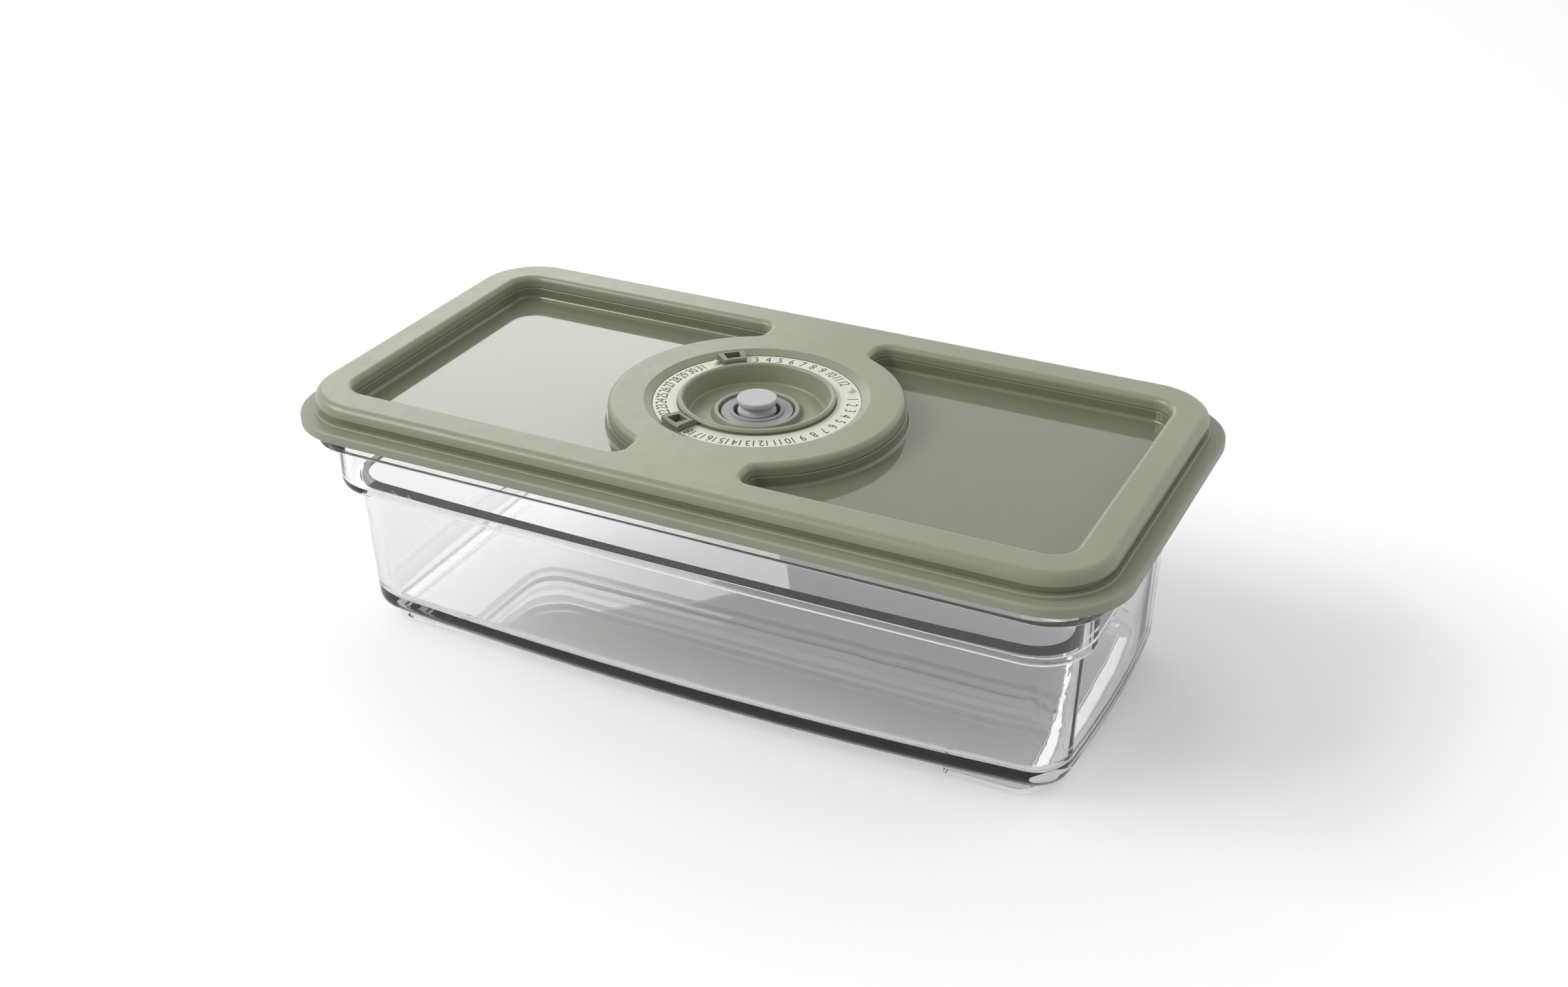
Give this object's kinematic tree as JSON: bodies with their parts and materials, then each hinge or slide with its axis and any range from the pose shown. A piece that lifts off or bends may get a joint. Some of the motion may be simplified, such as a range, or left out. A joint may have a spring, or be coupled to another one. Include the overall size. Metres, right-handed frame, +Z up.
{
  "type": "vacuum seal container",
  "caption": "Low clear rectangular food container with a flat sage lid: two glossy sunken trays, a date dial with two sliding markers, and a pump recess with a release valve.",
  "frame": {"origin": "middle of the footprint, on the surface that the feet stand on", "axes": "+X along the long side, +Y to the back, +Z up"},
  "size_m": [0.3, 0.152, 0.0949],
  "materials": {
    "clear_tub": "clear, polished",
    "sage_silicone": "satin",
    "sage_plastic": "fine satin",
    "gloss_sage": "polished",
    "cream_plastic": "satin, printed plain numbers",
    "olive_plastic": "satin",
    "lilac_silicone": "satin",
    "grey_plastic": "satin",
    "spring_steel": "drawn wire"
  },
  "bodies": {
    "tub": {"container_body": "clear_tub"},
    "lid": {"seal_ring": "sage_silicone", "lid_frame": "sage_plastic", "lid_panel": "gloss_sage", "dial_ring": "cream_plastic", "valve_housing": "sage_plastic", "valve_disc": "lilac_silicone", "button_spring": "spring_steel", "hub_washer": "lilac_silicone", "hub_nut": "sage_plastic"},
    "month_marker": {"month_pointer": "olive_plastic"},
    "day_marker": {"day_pointer": "olive_plastic"},
    "button": {"valve_button": "grey_plastic", "stem_seal": "lilac_silicone", "stem_clip": "spring_steel"}
  },
  "joints": [
    {"name": "lid_lift", "type": "slide", "parent": "tub", "child": "lid", "axis": [0, 0, 1], "range_m": [0, 0.06]},
    {"name": "month_marker_slide", "type": "hinge", "parent": "lid", "child": "month_marker", "pos_m": [0, 0, 0.0924], "axis": [0, 0, 1], "range_deg": [-84.3, 0.4]},
    {"name": "day_marker_slide", "type": "hinge", "parent": "lid", "child": "day_marker", "pos_m": [0, 0, 0.0924], "axis": [0, 0, 1], "range_deg": [-88.6, 144.7]},
    {"name": "button_press", "type": "slide", "parent": "lid", "child": "button", "axis": [0, 0, -1], "range_m": [0, 0.0016], "stiffness_N_per_m": 400, "deforming": ["button_spring"]}
  ]
}
